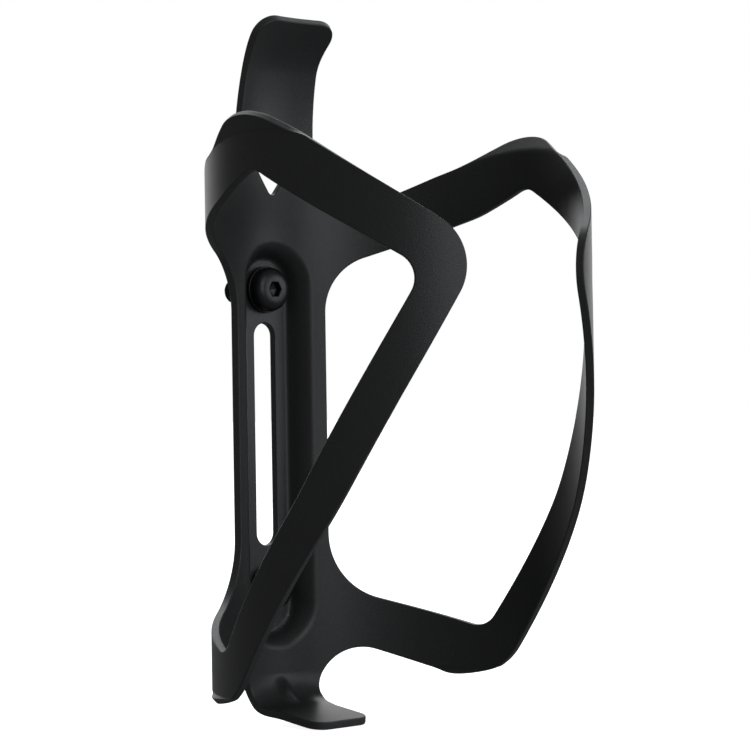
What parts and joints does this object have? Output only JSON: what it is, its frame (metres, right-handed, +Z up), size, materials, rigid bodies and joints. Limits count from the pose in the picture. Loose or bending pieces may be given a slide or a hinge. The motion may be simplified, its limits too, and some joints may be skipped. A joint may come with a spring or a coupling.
{
  "type": "bicycle water bottle cage",
  "caption": "Pressed sheet bottle cage with open side loops, a top tab and a folded foot, fastened to a frame tube through its slotted back plate by socket screws and washers.",
  "frame": {"origin": "rear mounting face, on the centreline, on the bridge between the upper bolt hole and the slot", "axes": "+Z up along the frame tube, +Y out of the rear mounting face towards the frame tube, +X to the cage's right seen from behind; the bottle's axis is parallel to Z at y = -43.8 mm"},
  "size_m": [0.0824, 0.0887, 0.1494],
  "materials": {
    "black_anodised_sheet": "bead-blasted, satin black anodised, with slightly brighter deburred edges",
    "black_steel": "black oxide, smooth satin"
  },
  "bodies": {
    "cage": {"cage_body": "black_anodised_sheet"},
    "upper_washer": {"upper_washer": "black_steel"},
    "upper_bolt": {"upper_bolt": "black_steel"},
    "lower_washer": {"lower_washer": "black_steel"},
    "lower_bolt": {"lower_bolt": "black_steel"}
  },
  "joints": [
    {"name": "upper_screw_out", "type": "slide", "parent": "cage", "child": "upper_washer", "axis": [0, -1, 0], "range_m": [0, 0.0092]},
    {"name": "upper_screw_turn", "type": "hinge", "parent": "upper_washer", "child": "upper_bolt", "pos_m": [0, 0, 0.0052], "axis": [0, -1, 0], "range_deg": [0, 4140]},
    {"name": "lower_screw_out", "type": "slide", "parent": "cage", "child": "lower_washer", "axis": [0, -1, 0], "range_m": [0, 0.0092]},
    {"name": "lower_screw_turn", "type": "hinge", "parent": "lower_washer", "child": "lower_bolt", "pos_m": [0, 0, -0.0588], "axis": [0, -1, 0], "range_deg": [0, 4140]}
  ],
  "couplings": [
    {"joint": "upper_screw_turn", "follows": "upper_screw_out", "rad_per_m": 7854},
    {"joint": "lower_screw_turn", "follows": "lower_screw_out", "rad_per_m": 7854}
  ]
}
